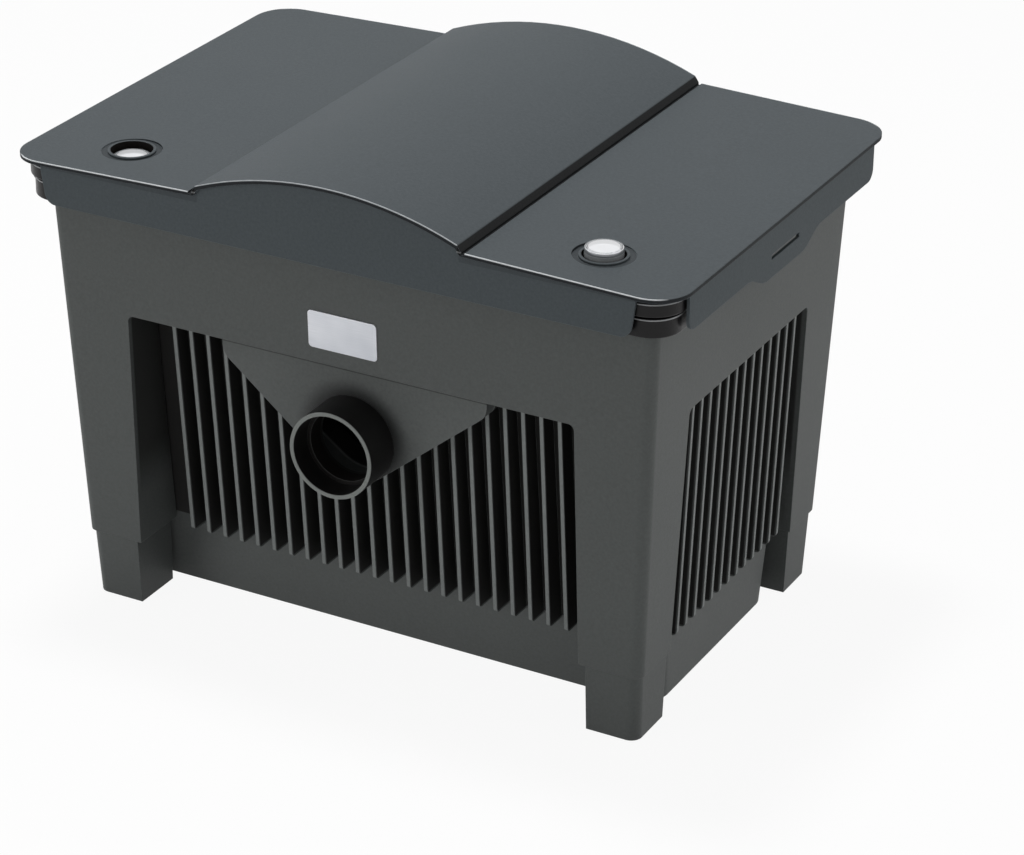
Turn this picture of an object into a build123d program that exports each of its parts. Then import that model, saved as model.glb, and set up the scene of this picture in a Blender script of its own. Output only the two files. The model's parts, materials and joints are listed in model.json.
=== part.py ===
"""Box-type flow-through pond filter.

A finned inner tub hangs in an outer frame on four legs, under a domed lid with two round gauges.
Millimetres, +Z up, origin on the floor in the middle of the footprint. The outlet is on the -Y side
(front), the inlet and the drain are on the +Y side (rear).
"""
import os
from math import atan, cos, radians, sin

from build123d import *

# ---- overall sizes ---------------------------------------------------------------------------
LID_WIDTH = 555.0            # along X, over the lid's edge
LID_DEPTH = 382.0            # along Y, over the lid's edge
TOTAL_HEIGHT = 408.0         # floor to the top of the dome
WALL = 3.0                   # general moulded wall
PLAY = 0.4                   # gap round a piece that drops into a moulding

HALF_X = LID_WIDTH / 2
HALF_Y = LID_DEPTH / 2
RIM_TOP_Z = TOTAL_HEIGHT - 36.0        # top of the tub's rim, where the lid sits
SHELF_Z = RIM_TOP_Z - 110.0            # underside of the shelf where the tub widens

# ---- outer frame: half sizes of its outside at three heights ---------------------------------
FOOT_X, FOOT_Y = HALF_X - 38.0, HALF_Y - 38.5        # on the floor
STEP_X, STEP_Y = HALF_X - 34.1, HALF_Y - 33.1        # just above the step of the leg
BAND_X, BAND_Y = HALF_X - 23.1, HALF_Y - 21.5        # under the lid's skirt
FOOT_STEP_Z = 56.4                     # height of the step
FOOT_STEP = 2.0                        # how far the foot stands back outside
BAND_TOP_Z = RIM_TOP_Z - 27.0          # where BAND_X and BAND_Y are taken
FRAME_CORNER = 9.0                     # radius of the frame's upright edges
WINDOW_TOP_Z = SHELF_Z - 6.0           # top of the four windows between the legs
FRONT_WINDOW_TOP, FRONT_WINDOW_LOW, FRONT_FOOT_GAP = STEP_X - 53.4, STEP_X - 50.5, STEP_X - 45.8
SIDE_WINDOW_TOP, SIDE_WINDOW_LOW, SIDE_FOOT_GAP = STEP_Y - 54.9, STEP_Y - 50.7, STEP_Y - 48.9
WINDOW_CORNER = 5.0

# ---- tub -------------------------------------------------------------------------------------
TUB_BOTTOM_Z = 1.0
TUB_FOOT_X, TUB_FOOT_Y = HALF_X - 48.2, HALF_Y - 91.7       # half sizes of the lower tub at the floor
TUB_DRAFT_X, TUB_DRAFT_Y = 0.045, 0.1085
TUB_CORNER = 20.0
TUB_CLEARANCE = 1.5                    # between the tub and the frame that it hangs in
UPPER_X, UPPER_Y = HALF_X - 32.5, HALF_Y - 31.2             # half sizes of the upper tub at the shelf
UPPER_DRAFT = 0.033
UPPER_CORNER = 18.0

# ---- cooling fins of the tub -----------------------------------------------------------------
FIN_THICKNESS = 3.0
FIN_BOTTOM_Z = 60.0
FIN_NOSE = 4.0                         # radius at the lower end of a fin's edge
FRONT_FIN_PITCH = 15.05
FRONT_FIN_COUNT = 2 * int((FRONT_WINDOW_TOP - 20.0) / FRONT_FIN_PITCH) + 1       # as seen in the window
FRONT_FIN_Y, FRONT_FIN_DRAFT = TUB_FOOT_Y + 20.5, 0.087
SIDE_FIN_PITCH = 14.8
SIDE_FIN_COUNT = 2 * int((TUB_FOOT_Y - TUB_CORNER / 2) / SIDE_FIN_PITCH) + 1     # between the tub's corners
SIDE_FIN_INSET = WALL + 0.3            # the side fins' edges stand this far inside the frame's outside

# ---- rims ------------------------------------------------------------------------------------
RIM_X, RIM_Y, RIM_CORNER = HALF_X - 6.0, HALF_Y - 6.2, 26.0
RIM_HEIGHT = 11.0
RIM_GROOVE = 2.0                       # between the tub's rim and the frame's rim
FRAME_RIM_INSET = 3.0
FRAME_RIM_HEIGHT = 15.0
RIM_ROUND = 2.4

# ---- outlet ----------------------------------------------------------------------------------
PIPE_Z = SHELF_Z - 68.35               # height of the outlet pipe's axis
PIPE_R = 35.0
PIPE_BORE = PIPE_R - 3.5               # radius of its bore
PIPE_ROUND = 0.8
PIPE_MOUTH_Y = -(HALF_Y - 3.6)
HOUSING_Y = HALF_Y - 36.7              # the housing's flat face stands this far forward
HOUSING_HALF = 113.0                   # half width of the V-shaped outlet housing
HOUSING_SLOPE = 0.81                   # rise over run of its two lower sides
HOUSING_MARGIN = 1.0                   # the sides pass this far outside the pipe
HOUSING_CORNER = 14.0
COLLAR_LENGTH = 14.0                   # moulded collar that carries the pipe
COLLAR_WALL = 3.0
COLLAR_FIT = 0.1                       # between the collar and the pipe's bore
SEAL_SECTION = 1.6                     # section diameter of the pipe's O-ring
SEAL_SETBACK = 6.0                     # O-ring's distance from the housing

# ---- inlet (rear) ----------------------------------------------------------------------------
INLET_Z = SHELF_Z - 62.0
INLET_SEAT_Y = TUB_FOOT_Y + TUB_DRAFT_Y * INLET_Z - WALL - 6.0        # face that the inner seal lies on
INLET_THREAD_R = 21.0
INLET_BORE_R = INLET_THREAD_R - 3.0
INLET_FLANGE_R, INLET_FLANGE_T = INLET_THREAD_R + 9.0, 5.0
INLET_SEAL_T = 2.0
INLET_NUT_T, INLET_NUT_R = 10.0, INLET_THREAD_R + 10.0
INLET_PAD_R, INLET_PAD_Y = INLET_FLANGE_R + 6.0, INLET_SEAT_Y + 18.0
INLET_POCKET_R = INLET_PAD_R + 8.0     # fins are cut back round the pad
INLET_END_Y = INLET_PAD_Y + 20.0
TAIL_STEPS = ((19.0, 14.0), (16.0, 10.0), (12.7, 10.0))      # radius and length of each hose step
TAIL_NECK = 0.6                        # the first step is this much slimmer under the union nut's lip
TAIL_LAND = 0.7                        # share of a step that is a plain cylinder
TAIL_GROOVE = 0.9                      # depth of the groove that forms a step's barb
TAIL_BORE_R = 10.0
TAIL_FLANGE_R, TAIL_FLANGE_T = INLET_THREAD_R - 0.25, 4.0
HOSE_GASKET_T = 2.0
UNION_R, UNION_RIBS, UNION_RIB_R = INLET_THREAD_R + 6.0, 12, 2.6
UNION_LIP = 3.5                        # lip that holds the hose adapter's flange
UNION_LIP_PLAY = 0.3
BAFFLE_GAP = 13.0                      # between the flange and the baffle's dish
BAFFLE_POST_R = 3.0
TURN_PLAY = 0.08                       # between a turning cap and the thread it stands for
THREAD_FIT = 0.2                       # round a fitting in the tub's wall

# ---- drain (rear, low) -----------------------------------------------------------------------
DRAIN_X, DRAIN_Z = -120.0, 22.0
DRAIN_SEAT_Y = TUB_FOOT_Y - WALL - 1.3
DRAIN_THREAD_R = 13.0
DRAIN_BORE_R = DRAIN_THREAD_R - 3.0
DRAIN_FLANGE_R, DRAIN_FLANGE_T, DRAIN_SEAL_T = DRAIN_THREAD_R + 4.0, 3.0, 2.0
DRAIN_PAD_R, DRAIN_PAD_Y = DRAIN_FLANGE_R + 2.0, DRAIN_SEAT_Y + 13.0
DRAIN_NUT_T, DRAIN_NUT_R = 7.0, DRAIN_PAD_R
DRAIN_END_Y = DRAIN_PAD_Y + 19.0
DRAIN_CAP_R, DRAIN_CAP_T, DRAIN_GRIPS = DRAIN_THREAD_R + 4.5, 16.0, 10
DRAIN_GRIP_R = 1.8

# ---- inner parts -----------------------------------------------------------------------------
FLOOR_Z = 45.0                         # top of the collector floor
FLOOR_T = 3.0
FLOOR_POST_R = 7.0
PARTITION_Y = -(TUB_FOOT_Y - 7.3)      # front face of the upright partition
RAIL_DEPTH = 8.0                       # how far the partition's rails stand in from the tub's wall
CARTRIDGE_X = (TUB_FOOT_X - 5.3) / 2   # the two foam cartridges stand at +X and -X
TUBE_R, TUBE_T = 30.0, 3.0
TUBE_TOP_Z = SHELF_Z + 6.0             # the pressed handle stays above it
SPIGOT_HEIGHT = 12.0
SLOT_ROWS, SLOT_WIDTH = 4, 5.0
SLOT_PITCH = (TUBE_TOP_Z - FLOOR_Z - 8.0) / (SLOT_ROWS + 1)
SLOT_HEIGHT = SLOT_PITCH - 13.0
FOAM_WIDTH, FOAM_DEPTH, FOAM_CORNER = 2 * CARTRIDGE_X - 38.0, 2 * TUB_FOOT_Y - 38.6, 10.0
FOAM_TOP_Z = SHELF_Z - 22.0
COARSE_TOP_Z = (FLOOR_Z + FOAM_TOP_Z) / 2 - 0.5
FOAM_GAP = 0.3
PRESS_T = 5.0
PRESS_INSET = 3.0
PRESS_COLLAR_HEIGHT = 20.0
PRESS_PLAY = 0.35
PRESS_BAR = 6.0                        # width of the grid's bars
PRESS_BORDER = 9.0
HANDLE_R, HANDLE_HALF, HANDLE_BEND = 5.0, 48.0, 14.0
HANDLE_TOP_Z = RIM_TOP_Z - 34.0
HANDLE_SOCKET = 3.0                    # height of the handle's lower ends above the plate's underside

# ---- lid -------------------------------------------------------------------------------------
LID_T = 3.0
LID_EDGE_T = 4.0
LID_EDGE_TOP_Z = RIM_TOP_Z + 5.8
LID_CORNER = 29.0
WING_SLOPE = 0.026                     # the wings rise towards the dome
RISER_X = 112.2
RISER_TOP_X = RISER_X - 3.7
RISER_HEIGHT = 5.3
GROOVE_WIDTH, GROOVE_DEPTH = 2.6, 1.6  # shadow groove at the foot of each riser
SKIRT_T = 2.5
SKIRT_BOTTOM_Z = RIM_TOP_Z - 27.0
FRONT_SKIRT_Y, FRONT_SKIRT_TOP_X, FRONT_SKIRT_LOW_X = HALF_Y - 2.5, HALF_X - 30.5, HALF_X - 34.5
SIDE_SKIRT_X, SIDE_SKIRT_Y = HALF_X - 2.5, HALF_Y - 31.0
SKIRT_CORNER = 9.0
TAB_Z, TAB_TOP_Y, TAB_LOW_Y, TAB_ROUND = RIM_TOP_Z - 38.5, 58.0, 36.0, 30.0
TAB_SLOT_Y, TAB_SLOT_LOW, TAB_SLOT_HIGH = 24.0, RIM_TOP_Z - 24.0, RIM_TOP_Z - 20.0
LUG_Y, LUG_Z, LUG_T = 18.0, RIM_TOP_Z - 22.0, 2.4
SEAT_RIB_X, SEAT_RIB_Y, SEAT_RIB_CORNER = HALF_X - 15.5, HALF_Y - 16.0, 20.0
RIB_T = 2.4
RIB_X, RIB_Y = RISER_X - 12.2, 84.0    # places of the stiffening ribs

# ---- gauges in the lid -----------------------------------------------------------------------
HEAD_R = 14.2
GAUGE_X, GAUGE_Y = HALF_X - 79.5, -(HALF_Y - 37.3 - HEAD_R)
GAUGE_HOLE_R = HEAD_R + 1.9
GAUGE_LIP_R, GAUGE_LIP_H, GAUGE_LIP_ROUND = GAUGE_HOLE_R + 2.2, 0.7, 0.6
GAUGE_DISH_R, GAUGE_DISH_DEPTH = GAUGE_HOLE_R + 6.9, 1.2
WELL_TOP_Z = RIM_TOP_Z + 2.0
WELL_FLOOR_Z, WELL_FLOOR_T = RIM_TOP_Z - 7.8, 4.2
WELL_OUT_R, WELL_FLANGE_R, WELL_FLANGE_T = GAUGE_HOLE_R + 2.5, GAUGE_DISH_R + 0.5, 1.6
LENS_T, LENS_ROUND = 3.0, 1.2
DIAL_R, DIAL_T = HEAD_R - 2.8, 1.0
INDICATOR_RISE = 10.6                  # travel of the indicator between its two stops
THERMOMETER_TOP_Z = RIM_TOP_Z + 14.2
INDICATOR_TOP_Z = THERMOMETER_TOP_Z - INDICATOR_RISE
STEM_R, STEM_END_Z, STEM_SINK = 4.0, RIM_TOP_Z - 64.0, 5.0
PROBE_R, PROBE_END_Z = 5.0, RIM_TOP_Z - 86.0
GUIDE_R, GUIDE_END_Z = PROBE_R + 3.0, RIM_TOP_Z - 37.0
STEM_FIT = 0.06
FLOAT_R, FLOAT_ROUND = 11.4, 4.0
FLOAT_TOP_Z, FLOAT_BOTTOM_Z = GUIDE_END_Z - INDICATOR_RISE - PLAY, SHELF_Z + 30.0

# ---- badge plate -----------------------------------------------------------------------------
BADGE_W, BADGE_H, BADGE_T, BADGE_Z, BADGE_CORNER = 58.0, 30.0, 1.2, WINDOW_TOP_Z + 27.5, 3.0
BADGE_SINK = 0.5
BADGE_PLAY = 0.2

SIDES = {"left": -1, "right": 1}


def band_x(z):
    """Half width of the frame's outside at height z, above the leg's step."""
    return STEP_X + (z - FOOT_STEP_Z) * (BAND_X - STEP_X) / (BAND_TOP_Z - FOOT_STEP_Z)


def band_y(z):
    """Half depth of the frame's outside at height z, above the leg's step."""
    return STEP_Y + (z - FOOT_STEP_Z) * (BAND_Y - STEP_Y) / (BAND_TOP_Z - FOOT_STEP_Z)


def tub_x(z):
    """Half width of the lower tub's outside at height z."""
    return TUB_FOOT_X + TUB_DRAFT_X * z


def tub_y(z):
    """Half depth of the lower tub's outside at height z."""
    return TUB_FOOT_Y + TUB_DRAFT_Y * z


def rounded_prism(half_x, half_y, corner, low, high):
    """Upright prism with rounded corners."""
    return extrude(Plane.XY.offset(low) * RectangleRounded(2 * half_x, 2 * half_y, corner), high - low)


def tapered(corner, low, high):
    """Flat-sided body between two rectangles (half_x, half_y, z), its upright edges rounded."""
    (x0, y0, z0), (x1, y1, z1) = low, high
    across = make_face(Polyline((-x0, z0), (x0, z0), (x1, z1), (-x1, z1), close=True))
    along = make_face(Polyline((-y0, z0), (y0, z0), (y1, z1), (-y1, z1), close=True))
    body = extrude(Plane.XZ * across, 2 * y1, both=True) & extrude(Plane.YZ * along, 2 * x1, both=True)
    upright = [edge for edge in body.edges() if abs((edge @ 0).Z - (edge @ 1).Z) > (z1 - z0) / 2]
    return fillet(upright, corner)


def disc(radius, low, high, x=0.0, y=0.0):
    """Upright cylinder between two heights."""
    return Pos(x, y, (low + high) / 2) * Cylinder(radius, high - low)


def disc_y(radius, start, end, x=0.0, z=0.0):
    """Cylinder along Y between two depths."""
    return Pos(x, (start + end) / 2, z) * Rot(90, 0, 0) * Cylinder(radius, abs(end - start))


def ring_y(outer, inner, start, end, x=0.0, z=0.0):
    """Ring along Y."""
    return disc_y(outer, start, end, x, z) - disc_y(inner, start - 1, end + 1, x, z)


def block(x0, x1, y0, y1, z0, z1):
    """Box between two corners."""
    return Pos((x0 + x1) / 2, (y0 + y1) / 2, (z0 + z1) / 2) * Box(abs(x1 - x0), abs(y1 - y0), abs(z1 - z0))


def rounded_face(points, radii):
    """Face on a closed outline whose corner i is rounded by radii[i], 0 leaving it sharp."""
    face = make_face(Polyline(*points, close=True))
    for (x, y), radius in zip(points, radii):
        if radius > 0:
            corner = face.vertices().sort_by_distance((x, y, 0))[0]
            face = fillet(corner, radius)
    return face


# ---- tub -------------------------------------------------------------------------------------
def housing_face(inset):
    """V-shaped outline of the outlet housing, its vertex rounded about the pipe's axis."""
    half = HOUSING_HALF - inset
    reach = PIPE_R + HOUSING_MARGIN - inset
    vertex = PIPE_Z - reach / cos(atan(HOUSING_SLOPE))
    side = vertex + HOUSING_SLOPE * half
    top = SHELF_Z + WALL
    points = [(-half, top), (half, top), (half, side), (0, vertex), (-half, side)]
    return rounded_face(points, [0, 0, HOUSING_CORNER - inset, reach, HOUSING_CORNER - inset])


def lower_tub(inset, floor_z, top_z):
    """Lower tub as a solid, its sides moved in by inset."""
    return tapered(TUB_CORNER - inset, (tub_x(floor_z) - inset, tub_y(floor_z) - inset, floor_z),
                   (tub_x(top_z) - inset, tub_y(top_z) - inset, top_z))


def tub_form(inset, floor_z, top_z):
    """Tub as a solid, its sides moved in by inset: lower tub, outlet housing and upper tub."""
    shelf = SHELF_Z + max(inset, 0)
    lower = lower_tub(inset, floor_z, shelf + 1)
    rise = (top_z - shelf) * UPPER_DRAFT
    upper = tapered(UPPER_CORNER - inset, (UPPER_X - inset, UPPER_Y - inset, shelf),
                    (UPPER_X - inset + rise, UPPER_Y - inset + rise, top_z))
    depth = HOUSING_Y - inset
    housing = extrude(Plane.XZ.offset(TUB_FOOT_Y - WALL) * housing_face(inset), depth - TUB_FOOT_Y + WALL)
    return lower + housing + upper


def fin(profile, plane):
    """One fin: its upright profile, thickened to both sides of the plane."""
    outline = rounded_face(profile, [0, FIN_NOSE, 0, 0])
    return extrude(plane * outline, FIN_THICKNESS / 2, both=True)


def fins():
    """All cooling fins, cut back round the inlet pad."""
    top = SHELF_Z + 0.5
    sink = WALL / 2
    low_y, high_y = tub_y(FIN_BOTTOM_Z) - sink, tub_y(top) - sink
    edge_low = FRONT_FIN_Y + FRONT_FIN_DRAFT * FIN_BOTTOM_Z
    edge_high = FRONT_FIN_Y + FRONT_FIN_DRAFT * top
    front = [(low_y, FIN_BOTTOM_Z), (edge_low, FIN_BOTTOM_Z), (edge_high, top), (high_y, top)]
    low_x, high_x = tub_x(FIN_BOTTOM_Z) - sink, tub_x(top) - sink
    side = [(low_x, FIN_BOTTOM_Z), (band_x(FIN_BOTTOM_Z) - SIDE_FIN_INSET, FIN_BOTTOM_Z),
            (band_x(top) - SIDE_FIN_INSET, top), (high_x, top)]
    pieces = []
    for i in range(FRONT_FIN_COUNT):
        x = (i - (FRONT_FIN_COUNT - 1) / 2) * FRONT_FIN_PITCH
        for direction in (-1, 1):
            plane = Plane(origin=(x, 0, 0), x_dir=(0, direction, 0), z_dir=(direction, 0, 0))
            pieces.append(fin(front, plane))
    for i in range(SIDE_FIN_COUNT):
        y = (i - (SIDE_FIN_COUNT - 1) / 2) * SIDE_FIN_PITCH
        for direction in (-1, 1):
            plane = Plane(origin=(0, y, 0), x_dir=(direction, 0, 0), z_dir=(0, -direction, 0))
            pieces.append(fin(side, plane))
    pocket = disc_y(INLET_POCKET_R, tub_y(INLET_Z + INLET_POCKET_R) + 0.5, BAND_Y, 0, INLET_Z)
    return [piece - pocket if abs(piece.center().X) < INLET_POCKET_R and piece.center().Y > 0 else piece
            for piece in pieces]


def rim_block(half_x, half_y, corner, top, height):
    """Rounded rim: a flat flange with a lip that hangs down outside."""
    body = rounded_prism(half_x, half_y, corner, top - height, top)
    body = fillet(body.edges().group_by(Axis.Z)[-1], RIM_ROUND)
    body = fillet(body.edges().group_by(Axis.Z)[0], RIM_ROUND / 2)
    inner = rounded_prism(half_x - WALL, half_y - WALL, corner - WALL, top - height - 1, top - WALL)
    return body - inner


def make_tub():
    """Inner tub with fins, outlet housing and collar, inlet and drain pads and its rim."""
    body = tub_form(0, TUB_BOTTOM_Z, RIM_TOP_Z - 1)
    rim = rim_block(RIM_X, RIM_Y, RIM_CORNER, RIM_TOP_Z, RIM_HEIGHT)
    inlet_pad = disc_y(INLET_PAD_R, INLET_SEAT_Y, INLET_PAD_Y, 0, INLET_Z)
    drain_pad = disc_y(DRAIN_PAD_R, DRAIN_SEAT_Y, DRAIN_PAD_Y, DRAIN_X, DRAIN_Z)
    body = body + [rim] + fins()
    body -= tub_form(WALL, TUB_BOTTOM_Z + WALL, RIM_TOP_Z + 1)
    body += [inlet_pad, drain_pad]
    collar_r = PIPE_BORE - COLLAR_FIT
    collar = disc_y(collar_r, -HOUSING_Y - COLLAR_LENGTH, -HOUSING_Y + 1, 0, PIPE_Z)
    groove_y = -HOUSING_Y - SEAL_SETBACK
    groove = ring_y(collar_r + 1, collar_r - SEAL_SECTION, groove_y - 1, groove_y + 1, 0, PIPE_Z)
    body = body + (collar - groove)
    body -= disc_y(collar_r - COLLAR_WALL, -HOUSING_Y - COLLAR_LENGTH - 1, -HOUSING_Y + WALL + 1, 0, PIPE_Z)
    body -= disc_y(INLET_THREAD_R + THREAD_FIT, INLET_SEAT_Y - 1, INLET_PAD_Y + 1, 0, INLET_Z)
    body -= disc_y(DRAIN_THREAD_R + THREAD_FIT, DRAIN_SEAT_Y - 1, DRAIN_PAD_Y + 1, DRAIN_X, DRAIN_Z)
    return body + partition_rails()


def partition_rails():
    """Upright rails on the tub's side walls, in front of the partition."""
    rails = []
    for direction in (-1, 1):
        bar = block(direction * (TUB_FOOT_X - 24.3), direction * UPPER_X, PARTITION_Y - PLAY - WALL,
                    PARTITION_Y - PLAY, FLOOR_Z, SHELF_Z - 10)
        inner = lower_tub(WALL + RAIL_DEPTH, FLOOR_Z - 5, SHELF_Z)
        rails.append((bar & lower_tub(WALL / 2, FLOOR_Z - 5, SHELF_Z)) - inner)
    return rails


# ---- outer frame -----------------------------------------------------------------------------
def window_face(half_top, half_low, half_foot, grow):
    """Window between two legs, with the step where the foot is slimmer; grow widens it."""
    low = -5.0
    points = [(half_top + grow, WINDOW_TOP_Z), (half_low + grow, FOOT_STEP_Z),
              (half_foot + grow, FOOT_STEP_Z), (half_foot + grow, low)]
    outline = [(-x, z) for x, z in reversed(points)] + points
    radii = [0, 0, 0, WINDOW_CORNER, WINDOW_CORNER, 0, 0, 0]
    return rounded_face(outline, radii)


def windows(grow):
    """The four windows: one prism through front and rear, one through both sides."""
    front = window_face(FRONT_WINDOW_TOP, FRONT_WINDOW_LOW, FRONT_FOOT_GAP, grow)
    side = window_face(SIDE_WINDOW_TOP, SIDE_WINDOW_LOW, SIDE_FOOT_GAP, grow)
    return [extrude(Plane.XZ * front, LID_DEPTH, both=True), extrude(Plane.YZ * side, LID_WIDTH, both=True)]


def frame_form(inset, top, bottom):
    """Frame as a solid, its sides moved in by inset: stepped feet and the tapered part above."""
    r = FRAME_CORNER - inset
    foot = tapered(r, (FOOT_X - inset, FOOT_Y - inset, bottom),
                   (STEP_X - FOOT_STEP - inset, STEP_Y - FOOT_STEP - inset, FOOT_STEP_Z))
    upper = tapered(r, (STEP_X - inset, STEP_Y - inset, FOOT_STEP_Z),
                    (band_x(top) - inset, band_y(top) - inset, top))
    return foot + upper


def make_frame():
    """Outer frame: four hollow legs under a band, with a rolled rim and two latch lugs."""
    top = RIM_TOP_Z - WALL
    rim_top = RIM_TOP_Z - RIM_HEIGHT - RIM_GROOVE
    body = frame_form(0, top, 0.0) - windows(0)
    hollow = frame_form(WALL, top + 1, -1.0) - windows(WALL)
    rim = rim_block(RIM_X - FRAME_RIM_INSET, RIM_Y - FRAME_RIM_INSET, RIM_CORNER - FRAME_RIM_INSET,
                    rim_top, FRAME_RIM_HEIGHT)
    body = body + rim - hollow
    body -= tub_form(-TUB_CLEARANCE, TUB_BOTTOM_Z - WALL, top + 2)
    lug_x = RIM_X - FRAME_RIM_INSET
    for direction in (-1, 1):
        body += block(direction * (lug_x - 1), direction * (SIDE_SKIRT_X - SKIRT_T - PLAY), -LUG_Y, LUG_Y,
                      LUG_Z - LUG_T / 2, LUG_Z + LUG_T / 2)
    return body - badge_solid(BADGE_PLAY, BADGE_T)


def badge_solid(grow, thickness):
    """Badge plate, or with grow its recess, in the sloping front face of the band."""
    lean = atan((BAND_Y - STEP_Y) / (BAND_TOP_Z - FOOT_STEP_Z))
    normal = Vector(0, -cos(lean), -sin(lean))
    plane = Plane(origin=(0, -band_y(BADGE_Z), BADGE_Z), x_dir=(1, 0, 0), z_dir=normal)
    face = RectangleRounded(BADGE_W + 2 * grow, BADGE_H + 2 * grow, BADGE_CORNER + grow)
    return extrude(plane.offset(-BADGE_SINK) * face, thickness)


# ---- outlet ----------------------------------------------------------------------------------
def make_outlet_pipe():
    """Outlet pipe pushed over the tub's collar."""
    pipe = ring_y(PIPE_R, PIPE_BORE, PIPE_MOUTH_Y, -HOUSING_Y, 0, PIPE_Z)
    mouth = pipe.edges().filter_by(GeomType.CIRCLE).group_by(Axis.Y)[0]
    return fillet(mouth, PIPE_ROUND)


def make_outlet_seal():
    """O-ring between the collar's groove and the pipe."""
    centre = PIPE_BORE - SEAL_SECTION / 2 - 0.05
    torus = Torus(centre, SEAL_SECTION / 2)
    return Pos(0, -HOUSING_Y - SEAL_SETBACK, PIPE_Z) * Rot(90, 0, 0) * torus


# ---- inlet -----------------------------------------------------------------------------------
def make_inlet():
    """Inlet fitting, its seal, lock nut, baffle, hose gasket and stepped hose adapter."""
    seal_y = INLET_SEAT_Y - INLET_SEAL_T
    flange_y = seal_y - INLET_FLANGE_T
    z = INLET_Z
    fitting = (disc_y(INLET_FLANGE_R, flange_y, seal_y, 0, z)
               + disc_y(INLET_THREAD_R, flange_y, INLET_END_Y, 0, z))
    fitting -= disc_y(INLET_BORE_R, flange_y - 1, INLET_END_Y + 1, 0, z)
    seal = ring_y(INLET_FLANGE_R - 1, INLET_THREAD_R + THREAD_FIT, seal_y, INLET_SEAT_Y, 0, z)
    nut_face = RegularPolygon(INLET_NUT_R, 8)
    nut = extrude(Plane.XZ.offset(-INLET_PAD_Y - INLET_NUT_T) * nut_face, INLET_NUT_T)
    nut_end = INLET_PAD_Y + INLET_NUT_T
    nut = Pos(0, 0, z) * nut - disc_y(INLET_THREAD_R + 0.1, INLET_PAD_Y - 1, nut_end + 1, 0, z)
    gasket = ring_y(INLET_THREAD_R - 0.5, INLET_BORE_R, INLET_END_Y, INLET_END_Y + HOSE_GASKET_T, 0, z)
    return {"inlet_fitting": fitting, "inlet_seal": seal, "inlet_lock_nut": nut, "hose_gasket": gasket,
            "inlet_baffle": make_baffle(flange_y), "hose_adapter": make_hose_adapter(),
            "hose_union_nut": make_union_nut()}


def make_baffle(flange_y):
    """Deflector dish on three posts in front of the inlet's inner end."""
    z = INLET_Z
    ring = ring_y(INLET_FLANGE_R, INLET_BORE_R + 2, flange_y - WALL, flange_y, 0, z)
    dish = disc_y(INLET_FLANGE_R + 2, flange_y - BAFFLE_GAP - WALL, flange_y - BAFFLE_GAP, 0, z)
    dish = fillet(dish.edges().group_by(Axis.Y)[-1], WALL / 2)
    posts = []
    for turn in (90, 210, 330):
        x = (INLET_FLANGE_R - 5) * cos(radians(turn))
        dz = (INLET_FLANGE_R - 5) * sin(radians(turn))
        posts.append(disc_y(BAFFLE_POST_R, flange_y - BAFFLE_GAP - 1, flange_y - 1, x, z + dz))
    return ring + dish + posts


def make_hose_adapter():
    """Stepped hose tail with a flange that the union nut holds; each step has a barb."""
    start = INLET_END_Y + HOSE_GASKET_T
    along = start + TAIL_FLANGE_T
    neck_r = TAIL_STEPS[0][0] - TAIL_NECK
    neck_end = along + UNION_LIP_PLAY + UNION_LIP + 0.5
    points = [(TAIL_BORE_R, start), (TAIL_FLANGE_R, start), (TAIL_FLANGE_R, along), (neck_r, along),
              (neck_r, neck_end)]
    for radius, length in TAIL_STEPS:
        land = along + length * TAIL_LAND
        points += [(radius, max(along, neck_end)), (radius, land), (radius - TAIL_GROOVE, land),
                   (radius, along + length)]
        along += length
    points.append((TAIL_BORE_R, along))
    face = make_face(Polyline(*points, close=True))
    solid = revolve(Plane.XY * face, Axis.Y)
    return Pos(0, 0, INLET_Z) * solid


def make_union_nut():
    """Union nut with grip ribs, turning on the fitting's thread."""
    z = INLET_Z
    start = INLET_PAD_Y + INLET_NUT_T + 0.5
    shoulder = INLET_END_Y + HOSE_GASKET_T + TAIL_FLANGE_T + UNION_LIP_PLAY
    end = shoulder + UNION_LIP
    body = disc_y(UNION_R, start, end, 0, z)
    body = chamfer(body.edges().group_by(Axis.Y)[-1], 1.5)
    ribs = []
    for i in range(UNION_RIBS):
        turn = radians(360 / UNION_RIBS * i)
        ribs.append(disc_y(UNION_RIB_R, start, end - 2.5, UNION_R * cos(turn), z + UNION_R * sin(turn)))
    body = body + ribs
    body -= disc_y(INLET_THREAD_R + TURN_PLAY, start - 1, shoulder, 0, z)
    return body - disc_y(TAIL_STEPS[0][0] + PRESS_PLAY, shoulder - 1, end + 1, 0, z)


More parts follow.
